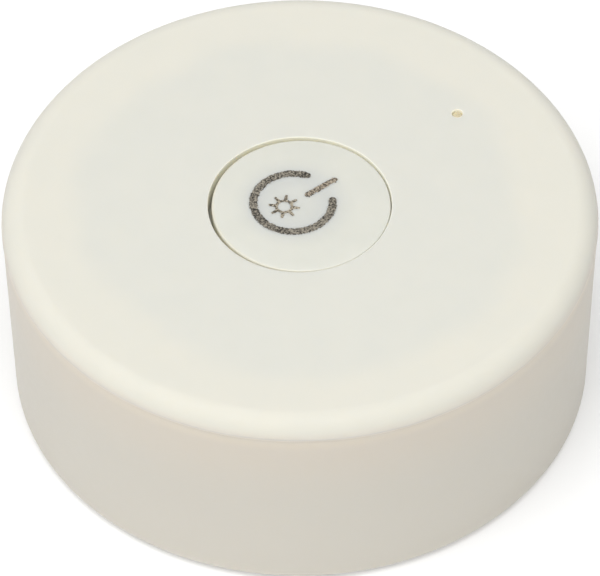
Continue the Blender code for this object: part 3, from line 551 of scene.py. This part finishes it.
def make_cover(material):
    """The lid: rounded edge, locating skirt, collar round the button, and three screw bosses."""
    flat_radius = RIM - EDGE_RADIUS * sin(radians(EDGE_SWEEP))
    hole_edge = 0.07 * MM
    rim_bottom = WALL_TOP + 0.004 * MM
    skirt_outer, skirt_inner = 22.6 * MM, 21.4 * MM
    collar_outer, collar_inner, collar_bottom = 10.1 * MM, 9.1 * MM, COVER_LOW.z
    skirt_bottom = 16.2 * MM
    profile = arc(HOLE_RADIUS + hole_edge, TOP - hole_edge, hole_edge, -90, 0, 5)
    profile += arc(flat_radius, TOP - EDGE_RADIUS, EDGE_RADIUS, 0, EDGE_SWEEP, 24)
    profile += arc(RIM - SEAM_LIP, rim_bottom + SEAM_LIP, SEAM_LIP, 90, 180, 4)
    profile += [
        (skirt_outer, rim_bottom),
        (skirt_outer, skirt_bottom),
        (skirt_inner, skirt_bottom),
        (skirt_inner, LID_UNDER),
        (collar_outer, LID_UNDER),
        (collar_outer, collar_bottom),
        (collar_inner, collar_bottom),
        (collar_inner, LID_UNDER),
        (HOLE_RADIUS, LID_UNDER),
    ]
    cover = turned("lid", profile, ring=True)
    root, boss_bottom, boss_radius = LID_UNDER + 0.5 * MM, 11.7 * MM, 2.4 * MM
    pilot_top, pilot_radius = 16.4 * MM, 1.15 * MM
    bosses = []
    for i, screw in enumerate(SCREWS):
        centre = middle(*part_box(screw))
        at = (centre.x, centre.y, 0.0)
        boss = [
            (0.0, root),
            (boss_radius, root),
            (boss_radius, boss_bottom),
            (pilot_radius, boss_bottom),
            (pilot_radius, pilot_top),
            (0.0, pilot_top),
        ]
        bosses.append(turned(f"lid_boss_{i}", boss, at, SMALL_STEPS))
    light = light_hole_cutter()
    key_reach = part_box("button_cap")[1].x
    slot_size = (2 * key_reach + 3 * MM, 2.4 * MM, 4.0 * MM)
    key_slots = block("lid_key_slots", slot_size, collar_bottom - 1.0 * MM)
    cover = shaped(cover, joined=bosses, cut=[light, key_slots])
    finish_piece(cover, material, "case", "ivory_plastic", "top_cover")


def light_hole_cutter():
    """The indicator's hole, with a rounded mouth."""
    mouth = 0.04 * MM
    above = TOP + 1.0 * MM
    profile = [(0.0, above), (LIGHT_HOLE_RADIUS + mouth, above)]
    profile += arc(LIGHT_HOLE_RADIUS + mouth, TOP - mouth, mouth, 0, -90, 4)
    profile += [(LIGHT_HOLE_RADIUS, LID_UNDER - 1.0 * MM), (0.0, LID_UNDER - 1.0 * MM)]
    return turned("light_hole", profile, (PIPE_CENTRE.x, PIPE_CENTRE.y, 0.0), SMALL_STEPS)


# ---------------------------------------------------------------- the bowl

def make_bowl(material):
    """The tapered bowl: doorway, screw columns, foot pockets, pinhole and the door's marks."""
    inner_top = WALL_TOP_RADIUS - WALL
    inner_foot = FLAT_BASE_RADIUS + FOOT_EDGE - WALL
    doorway, seat, ledge = 12.6 * MM, 13.85 * MM, 1.8 * MM
    chamfer = 0.12 * MM
    lip_radius = WALL_TOP_RADIUS - SEAM_LIP
    profile = [(inner_top, WALL_TOP), (lip_radius, WALL_TOP)]
    profile += arc(lip_radius, WALL_TOP - SEAM_LIP, SEAM_LIP, 0, 87, 3)[1:]
    profile += arc(FLAT_BASE_RADIUS, UNDERSIDE + FOOT_EDGE, FOOT_EDGE, 92.5, 180, 10)
    profile += [
        (seat + chamfer, UNDERSIDE),
        (seat, UNDERSIDE + chamfer),
        (seat, ledge),
        (doorway, ledge),
        (doorway, FLOOR_TOP),
        (inner_foot - 0.6 * MM, FLOOR_TOP),
        (inner_foot, FLOOR_TOP + 0.6 * MM),
    ]
    bowl = turned("bowl", profile, ring=True)
    joined, cut = [], []
    column_radius, column_bore, column_top = 2.7 * MM, 1.6 * MM, 9.9 * MM
    for i, screw in enumerate(SCREWS):
        centre = middle(*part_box(screw))
        at = (centre.x, centre.y, 0.0)
        joined.append(hollow_post(f"bowl_column_{i}", at, column_radius, column_bore, column_top))
        cut.append(recess_cutter(f"bowl_recess_{i}", at))
    for i, foot in enumerate(FEET):
        low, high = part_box(foot)
        centre = middle(low, high)
        at = (centre.x, centre.y, 0.0)
        pocket_radius = (high.x - low.x) / 2 + 0.2 * MM
        pocket_top = high.z + 0.1 * MM
        cut.append(flared_cutter(f"bowl_pocket_{i}", at, pocket_radius, pocket_top, 0.08 * MM))
    at = (PIN_CENTRE.x, PIN_CENTRE.y, 0.0)
    guide_radius, guide_bore, guide_top = 1.8 * MM, 1.15 * MM, 6.4 * MM
    joined.append(hollow_post("bowl_pin_guide", at, guide_radius, guide_bore, guide_top))
    cut.append(flared_cutter("bowl_pinhole", at, 0.8 * MM, POST_HOLLOW + 0.4 * MM, 0.18 * MM))
    notch_inner, notch_outer, notch_width = doorway - MM, seat - 0.15 * MM, 34.0
    notch_bottom, notch_top = 1.3 * MM, FLOOR_TOP + 0.5 * MM
    for i, angle in enumerate((45.0, 165.0, 285.0)):
        notch = sector(
            f"bowl_notch_{i}", notch_inner, notch_outer, angle, notch_width, notch_bottom, notch_top
        )
        cut.append(notch)
    cut += door_marks()
    bowl = shaped(bowl, joined=joined, cut=cut)
    finish_piece(bowl, material, "case", "ivory_plastic", "body_shell")


def hollow_post(name, at, radius, bore, top):
    """A round post that stands in the bowl's floor."""
    root = FLOOR_TOP - MM
    profile = [
        (0.0, POST_HOLLOW),
        (bore, POST_HOLLOW),
        (bore, top),
        (radius, top),
        (radius, root),
        (0.0, root),
    ]
    return turned(name, profile, at, POST_STEPS)


def flared_cutter(name, at, radius, top, flare):
    """A round pocket up from the underside, with a chamfered mouth."""
    profile = [
        (0.0, top),
        (radius, top),
        (radius, UNDERSIDE + flare),
        (radius + flare, UNDERSIDE),
        (radius + flare, UNDERSIDE - MM),
        (0.0, UNDERSIDE - MM),
    ]
    return turned(name, profile, at, SMALL_STEPS)


def recess_cutter(name, at):
    """A screw's recess with its shaft hole above."""
    shaft, seat, radius, flare = 1.25 * MM, 2.9 * MM, 2.2 * MM, 0.15 * MM
    profile = [
        (0.0, POST_HOLLOW + 0.4 * MM),
        (shaft, POST_HOLLOW + 0.4 * MM),
        (shaft, seat),
        (radius, seat),
        (radius, UNDERSIDE + flare),
        (radius + flare, UNDERSIDE),
        (radius + flare, UNDERSIDE - MM),
        (0.0, UNDERSIDE - MM),
    ]
    return turned(name, profile, at, SMALL_STEPS)


def door_marks():
    """Cutters beside the door: a dot where it locks and a bar where it opens."""
    circle_radius, bottom, top = 15.2 * MM, UNDERSIDE - MM, UNDERSIDE + 0.25 * MM
    inner, outer = circle_radius - 0.65 * MM, circle_radius + 0.65 * MM
    dot = slab("mark_locked", [circle(0.55 * MM, 32)], bottom, top, (0.0, -circle_radius))
    bar = sector("mark_open", inner, outer, -135.0, 1.8, bottom, top, 4)
    return [dot, bar]


# ---------------------------------------------------------------- the button and its mark

def make_button(material):
    """The button: a slightly crowned face, a flange with two keys, cross ribs and the stem."""
    face = TOP - SKIN
    edge = 0.15 * MM
    flat, fall = 4.7 * MM, 0.12 * MM
    crown_end = CAP_RADIUS - edge
    steps = 14
    crown = []
    for i in range(steps + 1):
        t = i / steps
        crown.append((flat + (crown_end - flat) * t, face - fall * t * t))
    slope = atan2(2 * fall, crown_end - flat)
    rounding_centre = crown_end - edge * sin(slope) * 0.2
    profile = [(0.0, face), (2.0 * MM, face)] + crown
    profile += arc(rounding_centre, face - fall - edge, edge, degrees(slope) + 10, 90, 8)
    cap_bottom, flange_top, flange = 17.1 * MM, 17.9 * MM, 8.7 * MM
    ceiling, hollow, stem = TOP - 1.5 * MM, 6.2 * MM, 1.6 * MM
    low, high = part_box("button_cap")
    profile += [
        (CAP_RADIUS, flange_top),
        (flange, flange_top),
        (flange, cap_bottom),
        (hollow, cap_bottom),
        (hollow, ceiling),
        (stem, ceiling),
        (stem, low.z),
        (0.0, low.z),
    ]
    cap = turned("button", profile, CAP_CENTRE)
    reach, key_root = high.x, 6.6 * MM
    key_size, key_bottom = (reach - key_root, 1.8 * MM, 0.7 * MM), cap_bottom + 0.05 * MM
    keys = [
        block(f"button_key_{i}", key_size, key_bottom, (side * (reach + key_root) / 2, 0.0))
        for i, side in enumerate((-1, 1))
    ]
    rib_size, rib_bottom = (13.4 * MM, 0.8 * MM, 1.7 * MM), cap_bottom + 0.3 * MM
    ribs = [
        block(f"button_rib_{i}", rib_size, rib_bottom, CAP_CENTRE, turn)
        for i, turn in enumerate((45.0, 135.0))
    ]
    cap = shaped(cap, joined=[*keys, *ribs])
    finish_piece(cap, material, "button", "button_plastic", "button_cap")


def ragged(outline, random, amount):
    """The outline with each point pushed a little in or out, as a burnt edge is."""
    centre = sum((Vector(p) for p in outline), Vector((0.0, 0.0))) / len(outline)
    moved = []
    for point in outline:
        away = (Vector(point) - centre).normalized()
        moved.append((Vector(point) + away * random.uniform(-amount, amount))[:])
    return moved


def stroke(path, width, random, amount):
    """The outline of a line with round ends, its sides slightly ragged."""
    sides = ([], [])
    for i, point in enumerate(path):
        ahead = path[min(i + 1, len(path) - 1)]
        behind = path[max(i - 1, 0)]
        along = (Vector(ahead) - Vector(behind)).normalized()
        across = Vector((-along.y, along.x))
        for side, sign in zip(sides, (1, -1)):
            half = width / 2 + random.uniform(-amount, amount)
            side.append(Vector(point) + across * half * sign)
    ends = []
    for tip, before in ((path[-1], path[-2]), (path[0], path[1])):
        along = (Vector(tip) - Vector(before)).normalized()
        across = Vector((-along.y, along.x))
        angles = [pi * i / 8 for i in range(1, 8)]
        ends.append([Vector(tip) + (across * cos(a) + along * sin(a)) * width / 2 for a in angles])
    outline = sides[0] + ends[0] + sides[1][::-1] + ends[1]
    return [p[:] for p in outline]


def add_specks(obj, spots, radius, bottom, top, random):
    """Stray laser dots round a mark's edge, as small six-sided plugs in the same mesh."""
    build = bmesh.new()
    build.from_mesh(obj.data)
    drop = obj.location.z
    for x, y in spots:
        size = radius * random.uniform(0.6, 1.1)
        turn = random.uniform(0.0, pi)
        outline = circle(size, 6, (x, y), turn)
        rings = [[build.verts.new((px, py, z - drop)) for px, py in outline] for z in (bottom, top)]
        build.faces.new(rings[1])
        build.faces.new(rings[0][::-1])
        for i in range(6):
            j = (i + 1) % 6
            build.faces.new((rings[0][i], rings[0][j], rings[1][j], rings[1][i]))
    build.to_mesh(obj.data)
    build.free()


def edge_spots(path, width, count, random):
    """Places scattered along both edges of a line."""
    spots = []
    for _ in range(count):
        i = random.randrange(1, len(path) - 1)
        along = (Vector(path[i + 1]) - Vector(path[i - 1])).normalized()
        across = Vector((-along.y, along.x))
        side = random.choice((-1, 1)) * (width / 2 + abs(random.gauss(0.0, 0.028 * MM)))
        spots.append((Vector(path[i]) + across * side + along * random.uniform(-0.1, 0.1) * MM)[:])
    return spots


def make_mark(ring_material, bar_material, sun_material):
    """The burnt mark: an open ring with a bar in its gap, and a small sun inside it."""
    random = Random(7)
    bottom, top = TOP - 3 * SKIN, TOP - 0.001 * MM
    rag = 0.020 * MM
    gap_left, gap_right = 31, 33  # degrees either side of +Y that the ring leaves open
    start, end = radians(90 + gap_left), radians(90 - gap_right + 360)
    count = 150
    path = []
    for i in range(count + 1):
        a = start + (end - start) * i / count
        path.append((MARK_CENTRE.x + MARK_RADIUS * cos(a), MARK_CENTRE.y + MARK_RADIUS * sin(a)))
    ring = slab("mark_ring", [stroke(path, MARK_WIDTH, random, rag)], bottom, top, CAP_CENTRE)
    speck_top = top - 0.001 * MM
    speck = 0.05 * MM
    add_specks(ring, edge_spots(path, MARK_WIDTH, 380, random), speck, bottom, speck_top, random)
    finish_piece(ring, ring_material, "button", "laser_mark")

    bar_x, bar_low, bar_high, bar_width = -0.52 * MM, 1.05 * MM, 3.96 * MM, 0.44 * MM
    lean = radians(2.5)
    count = 30
    path = []
    for i in range(count + 1):
        y = bar_low + (bar_high - bar_low) * i / count
        path.append((bar_x + (y - bar_low) * lean / 2, y))
    bar = slab("mark_bar", [stroke(path, bar_width, random, rag)], bottom, top, CAP_CENTRE)
    add_specks(bar, edge_spots(path, bar_width, 90, random), speck, bottom, speck_top, random)
    finish_piece(bar, bar_material, "button", "laser_mark")

    rays = 8
    disc, hollow, shoulder, tip = 0.78 * MM, 0.54 * MM, 1.0 * MM, 1.32 * MM
    half_ray = ((-17, disc), (-11, disc), (-8, shoulder), (-4, tip))
    ray = half_ray + tuple((-offset, radius) for offset, radius in reversed(half_ray))
    outline = []
    for i in range(rays):
        a = 2 * pi * i / rays - radians(1.5)
        for offset, radius in ray:
            angle = a + radians(offset)
            outline.append((SUN_CENTRE.x + radius * cos(angle), SUN_CENTRE.y + radius * sin(angle)))
    hole = circle(hollow, 40, SUN_CENTRE)
    edges = [ragged(outline, random, rag), ragged(hole, random, rag)]
    sun = slab("mark_sun", edges, bottom, top, CAP_CENTRE)
    finish_piece(sun, sun_material, "button", "laser_mark")


# ---------------------------------------------------------------- small outer pieces

def make_lens(material):
    """The light pipe, its domed tip just below the mouth of its hole."""
    low, high = PIPE_LOW, PIPE_HIGH
    tip, flange, stem = 0.42 * MM, (high.x - low.x) / 2, 1.0 * MM
    flange_top, flange_bottom = LID_UNDER - 0.3 * MM, LID_UNDER - 0.9 * MM
    dome, shoulder = 0.9 * MM, high.z - 0.16 * MM
    profile = [(0.0, high.z)]
    profile += arc(0.0, high.z - dome, dome, 6, 26, 5)
    profile += [
        (tip, shoulder),
        (tip, flange_top),
        (flange, flange_top),
        (flange, flange_bottom),
        (stem, flange_bottom),
        (stem, low.z),
        (0.0, low.z),
    ]
    lens = turned("light_tip", profile, (PIPE_CENTRE.x, PIPE_CENTRE.y, 0.0), SMALL_STEPS)
    finish_piece(lens, material, "case", "light_pipe_plastic", "light_pipe")


def make_feet(material):
    """Round pads with three fine rings moulded in the face."""
    rounding, groove_depth, groove_half = 0.3 * MM, 0.06 * MM, 0.12 * MM
    for foot in FEET:
        low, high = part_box(foot)
        centre, radius = middle(low, high), (high.x - low.x) / 2
        profile = [(0.0, high.z), (radius, high.z)]
        profile += arc(radius - rounding, low.z + rounding, rounding, 90, 180, 6)
        for groove in (2.5 * MM, 1.7 * MM, 0.9 * MM):
            profile += [
                (groove + groove_half, low.z),
                (groove, low.z + groove_depth),
                (groove - groove_half, low.z),
            ]
        profile += [(0.0, low.z)]
        name = foot.replace("rubber_foot", "foot_pad")
        pad = turned(name, profile, (centre.x, centre.y, 0.0), MIDDLE_STEPS)
        finish_piece(pad, material, "case", "foot_rubber", foot)


def helix_thread(name, centre, core, crest, bottom, top, pitch, turn_steps=24):
    """One closed helical ridge, a triangle in section, wound round the screw's core."""
    turns = (top - bottom) / pitch
    count = int(turns * turn_steps)
    build = bmesh.new()
    rows = []
    for i in range(count + 1):
        angle = 2 * pi * i / turn_steps
        z = bottom + (top - bottom) * i / count
        fade = min(1.0, i / turn_steps, (count - i) / turn_steps)
        out = core + (crest - core) * fade
        half = pitch * 0.32 * max(fade, 0.15)
        section = ((core * 0.85, z - half), (out, z), (core * 0.85, z + half))
        row = []
        for r, h in section:
            row.append(build.verts.new((centre.x + r * cos(angle), centre.y + r * sin(angle), h)))
        rows.append(row)
    for here, after in zip(rows, rows[1:]):
        for j in range(3):
            k = (j + 1) % 3
            build.faces.new((here[j], after[j], after[k], here[k]))
    build.faces.new(rows[0])
    build.faces.new(rows[-1][::-1])
    bmesh.ops.recalc_face_normals(build, faces=build.faces)
    mesh = bpy.data.meshes.new(name)
    build.to_mesh(mesh)
    build.free()
    return place(name, mesh)


def make_screws(material):
    """Pan-head screws with a cross slot and a wound thread."""
    core, crest, pitch, head_top = 0.75 * MM, 1.0 * MM, 0.9 * MM, 2.8 * MM
    edge, pan = 0.06 * MM, 0.75 * MM
    for screw in SCREWS:
        low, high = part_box(screw)
        centre, head = middle(low, high), (high.x - low.x) / 2
        at = (centre.x, centre.y, 0.0)
        profile = [
            (0.0, high.z),
            (core * 0.5, high.z - 0.4 * MM),
            (core, high.z - 0.9 * MM),
            (core, head_top),
            (head - edge, head_top),
            (head, head_top - edge),
            (head, low.z + pan),
        ]
        profile += arc(head - pan, low.z + pan, pan, 90, 170, 8)[1:]
        profile += [(0.0, low.z)]
        body = turned(screw.replace("case_screw", "screw"), profile, at, SMALL_STEPS)
        thread_bottom, thread_top = head_top + 0.5 * MM, high.z - 0.7 * MM
        thread = helix_thread(screw + "_thread", centre, core, crest, thread_bottom, thread_top, pitch)
        outward = degrees(atan2(centre.y, centre.x))
        blade_size, blade_bottom = (2.3 * MM, 0.5 * MM, 1.6 * MM), low.z - 0.8 * MM
        blades = []
        for i in range(2):
            blade = block(f"{screw}_blade_{i}", blade_size, blade_bottom, at, outward + 90 * i + 20)
            blades.append(blade)
        body = shaped(body, joined=[thread], cut=blades)
        finish_piece(body, material, "case", "plated_steel", screw)


def make_door(material):
    """The twist-off door: plate, plug, three lugs, coin slot and arrow."""
    chamfer = 0.18 * MM
    plate_top, plug_outer, plug_inner = 1.5 * MM, 12.3 * MM, 11.3 * MM
    profile = [
        (0.0, plate_top),
        (plug_inner, plate_top),
        (plug_inner, DOOR_HIGH.z),
        (plug_outer, DOOR_HIGH.z),
        (plug_outer, plate_top),
        (DOOR_RADIUS, plate_top),
        (DOOR_RADIUS, DOOR_LOW.z + chamfer),
        (DOOR_RADIUS - chamfer, DOOR_LOW.z),
        (0.0, DOOR_LOW.z),
    ]
    door = turned("door", profile, steps=DOOR_STEPS)
    lug_inner, lug_outer, lug_width = plug_outer - 0.4 * MM, 13.45 * MM, 28.0
    lug_bottom, lug_top = 2.9 * MM, DOOR_HIGH.z - 0.05 * MM
    lugs = [
        sector(f"door_lug_{i}", lug_inner, lug_outer, angle, lug_width, lug_bottom, lug_top)
        for i, angle in enumerate((90.0, 210.0, 330.0))
    ]
    coin_radius, half, depth = 25.0 * MM, 0.9 * MM, 0.65 * MM
    disc = [(0.0, half), (coin_radius, half), (coin_radius, -half), (0.0, -half)]
    coin = turned("door_coin", disc)
    coin.rotation_euler.x = pi / 2
    coin.location = (0.0, 0.0, DOOR_LOW.z + depth - coin_radius)
    tip, arrow_half, arrow_length = -DOOR_RADIUS + 0.6 * MM, 0.9 * MM, 1.5 * MM
    arrow_shape = [(0.0, tip), (arrow_half, tip + arrow_length), (-arrow_half, tip + arrow_length)]
    arrow = slab("door_arrow", [arrow_shape], DOOR_LOW.z - MM, DOOR_LOW.z + 0.25 * MM)
    door = shaped(door, joined=lugs, cut=[coin, arrow])
    finish_piece(door, material, "door", "ivory_plastic", "battery_door")


# ---------------------------------------------------------------- the inner CAD nodes

def dress_inside():
    """Materials for the CAD nodes that stay as they are, all inside the closed case."""
    steel = plated_metal("plated_steel", (0.50, 0.49, 0.46), (0.74, 0.74, 0.72), 0.24, 0.12)
    black = moulded("black_moulding", (0.014, 0.014, 0.015), (0.030, 0.030, 0.031), 0.42, 0.10 * MM)
    board = solder_mask("solder_mask", (0.010, 0.105, 0.040), (0.030, 0.200, 0.080))
    ceramic = moulded("fired_ceramic", (0.42, 0.30, 0.19), (0.56, 0.43, 0.29), 0.45, 0.06 * MM)
    yellow = moulded("tantalum_moulding", (0.66, 0.42, 0.05), (0.76, 0.52, 0.09), 0.40, 0.09 * MM)
    clear = moulded("led_package", (0.74, 0.71, 0.52), (0.86, 0.84, 0.72), 0.28, 0.07 * MM)
    copper = plated_metal("copper_track", (0.52, 0.25, 0.12), (0.80, 0.46, 0.26), 0.26, 0.3)
    looks = {
        board: ["main_board", "radio_board"],
        steel: [
            "coin_cell",
            "positive_contact",
            "negative_contact",
            "switch_cover",
            "switch_dome",
            "switch_terminal_front",
            "switch_terminal_rear",
            "radio_shield",
            "crystal_can",
        ],
        black: [
            "battery_holder",
            "switch_base",
            "switch_plunger",
            "pairing_switch_base",
            "pairing_plunger",
            "controller_chip",
            "power_coil",
            "chip_resistor_1",
            "chip_resistor_2",
            "chip_resistor_3",
        ],
        ceramic: ["ceramic_capacitor_1", "ceramic_capacitor_2", "ceramic_capacitor_3"],
        yellow: ["tantalum_capacitor"],
        clear: ["indicator_led"],
        copper: ["radio_antenna"],
    }
    for material, nodes in looks.items():
        for node in nodes:
            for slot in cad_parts[node].material_slots:
                slot.link = "OBJECT"
                slot.material = material


# ---------------------------------------------------------------- studio

FLOOR_GAP = 0.01 * MM
FLOOR_HALF_SIZE = 3.0
FLOOR_DARK, FLOOR_LIGHT = (0.705, 0.705, 0.705), (0.715, 0.715, 0.715)
FLOOR_GLOW = 0.25
SKY_COLOUR = (1.0, 1.0, 0.99, 1.0)
SKY_STRENGTH = 0.25


def make_floor():
    """White paper lit from below a little, as on a light table, so that shadows stay faint."""
    mesh = bpy.data.meshes.new("floor")
    build = bmesh.new()
    bmesh.ops.create_grid(build, x_segments=1, y_segments=1, size=FLOOR_HALF_SIZE)
    build.to_mesh(mesh)
    build.free()
    floor = place("floor", mesh)
    floor.location.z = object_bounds()[0].z - FLOOR_GAP
    nodes = Nodes("floor_paper")
    tone = nodes.spread(nodes.noise(0.12, 2.0), 0.3, 0.7)
    nodes.colour(nodes.mix(tone, FLOOR_DARK, FLOOR_LIGHT))
    nodes.shader.inputs["Roughness"].default_value = 0.9
    nodes.shader.inputs["Emission Color"].default_value = (1.0, 1.0, 1.0, 1.0)
    nodes.shader.inputs["Emission Strength"].default_value = FLOOR_GLOW
    mesh.materials.append(nodes.material)


def toward(azimuth, elevation):
    """A direction from two angles in degrees: azimuth 0 is -Y and turns towards +X."""
    a, e = radians(azimuth), radians(elevation)
    return Vector((sin(a) * cos(e), -cos(a) * cos(e), sin(e)))


def soft_box(name, azimuth, elevation, distance, size, power):
    """A round area light that faces the middle of the object."""
    light = bpy.data.lights.new(name, "AREA")
    light.shape = "DISK"
    light.size = size
    light.energy = power
    lamp = bpy.data.objects.new(name, light)
    back = toward(azimuth, elevation)
    lamp.location = back * distance
    lamp.rotation_euler = (-back).to_track_quat("-Z", "Y").to_euler()
    bpy.context.scene.collection.objects.link(lamp)


CAMERA_AZIMUTH = 52.3  # degrees, as the next angles
CAMERA_ELEVATION = 47.58
CAMERA_ROLL = -0.465
CAMERA_DISTANCE = 670.4 * MM
CAMERA_LENS = 475.7  # millimetres, for a sensor 36 mm wide
AIM_BELOW = 0.414 * MM
AIM_LEFT = 0.036 * MM


def make_camera():
    data = bpy.data.cameras.new("camera")
    data.lens = CAMERA_LENS
    data.sensor_width = 36.0
    data.clip_start = 0.01
    data.clip_end = 10.0
    camera = bpy.data.objects.new("camera", data)
    back = toward(CAMERA_AZIMUTH, CAMERA_ELEVATION)
    turn = (-back).to_track_quat("-Z", "Y")
    up = turn @ Vector((0.0, 1.0, 0.0))
    right = turn @ Vector((1.0, 0.0, 0.0))
    centre = Vector((0.0, 0.0, (UNDERSIDE + TOP) / 2)) - up * AIM_BELOW - right * AIM_LEFT
    camera.location = centre + back * CAMERA_DISTANCE
    camera.rotation_mode = "QUATERNION"
    camera.rotation_quaternion = turn @ Quaternion((0.0, 0.0, 1.0), radians(CAMERA_ROLL))
    bpy.context.scene.collection.objects.link(camera)
    bpy.context.scene.camera = camera


def make_studio():
    make_floor()
    world = bpy.data.worlds.new("studio")
    world.use_nodes = True
    background = world.node_tree.nodes["Background"]
    background.inputs["Color"].default_value = SKY_COLOUR
    background.inputs["Strength"].default_value = SKY_STRENGTH
    bpy.context.scene.world = world
    soft_box("key", CAMERA_AZIMUTH - 22, elevation=72, distance=1.2, size=1.4, power=18.7)
    bpy.context.scene.view_settings.view_transform = "Standard"
    bpy.context.scene.view_settings.look = "None"


make_camera()
make_cover(ivory_cover())
make_bowl(ivory_bowl())
make_button(button_plastic())
make_mark(
    burnt_mark("burnt_ring", (0.016, 0.014, 0.011), (0.31, 0.280, 0.225), -0.13),
    burnt_mark("burnt_bar", (0.018, 0.014, 0.010), (0.42, 0.355, 0.27), -0.06),
    burnt_mark("burnt_sun", (0.018, 0.015, 0.010), (0.43, 0.375, 0.285), -0.08),
)
make_lens(amber_lens())
make_feet(foot_rubber())
make_screws(plated_metal("zinc_screw", (0.46, 0.45, 0.42), (0.70, 0.69, 0.66), 0.26, 0.5))
make_door(ivory_door())
dress_inside()
make_studio()
